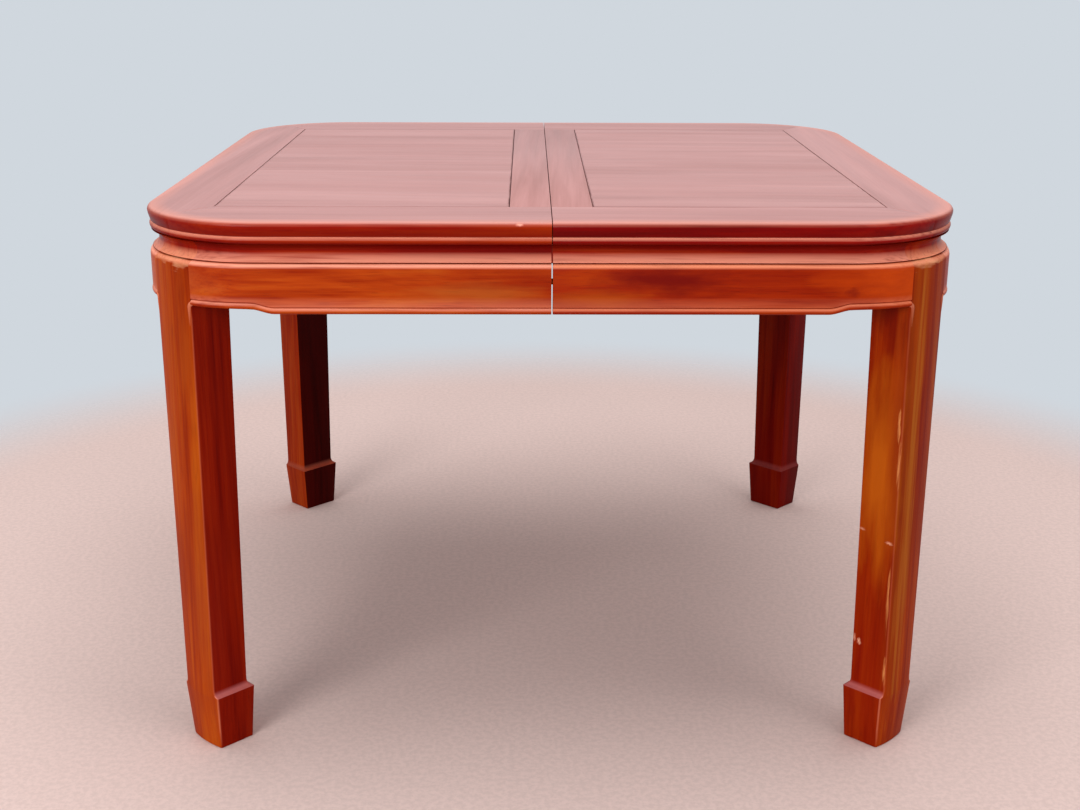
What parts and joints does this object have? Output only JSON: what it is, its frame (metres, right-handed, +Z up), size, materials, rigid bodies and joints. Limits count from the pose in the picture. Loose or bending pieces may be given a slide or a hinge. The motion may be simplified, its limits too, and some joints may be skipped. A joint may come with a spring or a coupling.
{
  "type": "square extension dining table",
  "caption": "Square waisted hardwood dining table with rounded corners and horse-hoof legs, whose top parts in the middle and draws out on hidden wooden slides.",
  "frame": {"origin": "on the floor under the middle of the closed table", "axes": "+Z up to the table top; +X along the way the right half draws out; +Y from the front apron to the back apron"},
  "size_m": [1.118, 1.118, 0.78],
  "materials": {
    "top_frame_wood": "semi-gloss reddish rosewood",
    "panel_wood": "semi-gloss reddish rosewood, grain along the draw",
    "waist_wood": "semi-gloss reddish rosewood",
    "apron_wood": "semi-gloss orange-red rosewood with dark figure",
    "leg_wood": "semi-gloss orange-red rosewood with upright figure",
    "inner_wood": "unpolished rosewood",
    "slide_wood": "waxed pale hardwood",
    "dowel_wood": "turned hardwood",
    "steel": "plain steel",
    "brass": "aged brass"
  },
  "bodies": {
    "left_half": {"end_frame_left": "top_frame_wood", "top_rail_front_left": "top_frame_wood", "top_rail_back_left": "top_frame_wood", "seam_stile_left": "top_frame_wood", "top_panel_left": "panel_wood", "waist_strip_front_left": "waist_wood", "waist_strip_back_left": "waist_wood", "waist_strip_end_left": "waist_wood", "apron_front_left": "apron_wood", "apron_back_left": "apron_wood", "apron_end_left": "apron_wood", "leg_front_left": "leg_wood", "leg_back_left": "leg_wood", "corner_block_front_left": "inner_wood", "corner_block_back_left": "inner_wood", "batten_inner_left": "inner_wood", "batten_outer_left": "inner_wood", "slide_rail_front_left": "slide_wood", "slide_rail_back_left": "slide_wood", "stop_pins_left": "steel", "slide_screws_left": "steel", "lock_plate_front": "brass", "lock_plate_back": "brass", "lock_pivots": "brass", "lock_screws_left": "steel"},
    "right_half": {"end_frame_right": "top_frame_wood", "top_rail_front_right": "top_frame_wood", "top_rail_back_right": "top_frame_wood", "seam_stile_right": "top_frame_wood", "top_panel_right": "panel_wood", "waist_strip_front_right": "waist_wood", "waist_strip_back_right": "waist_wood", "waist_strip_end_right": "waist_wood", "apron_front_right": "apron_wood", "apron_back_right": "apron_wood", "apron_end_right": "apron_wood", "leg_front_right": "leg_wood", "leg_back_right": "leg_wood", "corner_block_front_right": "inner_wood", "corner_block_back_right": "inner_wood", "batten_inner_right": "inner_wood", "batten_outer_right": "inner_wood", "slide_rail_front_right": "slide_wood", "slide_rail_back_right": "slide_wood", "stop_pins_right": "steel", "slide_screws_right": "steel", "lock_keeper_front": "brass", "lock_keeper_back": "brass", "lock_studs": "brass", "lock_screws_right": "steel", "seam_dowels": "dowel_wood", "apron_dowels": "dowel_wood"},
    "runner_front": {"slide_runner_front": "slide_wood"},
    "runner_back": {"slide_runner_back": "slide_wood"},
    "lever_front": {"lock_lever_front": "brass"},
    "lever_back": {"lock_lever_back": "brass"}
  },
  "joints": [
    {"name": "right_half_slide", "type": "slide", "parent": "left_half", "child": "right_half", "axis": [1, 0, 0], "range_m": [0, 0.51]},
    {"name": "runner_front_slide", "type": "slide", "parent": "left_half", "child": "runner_front", "axis": [1, 0, 0], "range_m": [0, 0.255]},
    {"name": "runner_back_slide", "type": "slide", "parent": "left_half", "child": "runner_back", "axis": [1, 0, 0], "range_m": [0, 0.255]},
    {"name": "lever_front_swing", "type": "hinge", "parent": "left_half", "child": "lever_front", "pos_m": [-0.028, -0.12, 0.74525], "axis": [0, 0, 1], "range_deg": [-90, 0]},
    {"name": "lever_back_swing", "type": "hinge", "parent": "left_half", "child": "lever_back", "pos_m": [-0.028, 0.12, 0.74525], "axis": [0, 0, 1], "range_deg": [0, 90]}
  ],
  "couplings": [
    {"joint": "runner_front_slide", "follows": "right_half_slide", "ratio": 0.5},
    {"joint": "runner_back_slide", "follows": "right_half_slide", "ratio": 0.5}
  ]
}
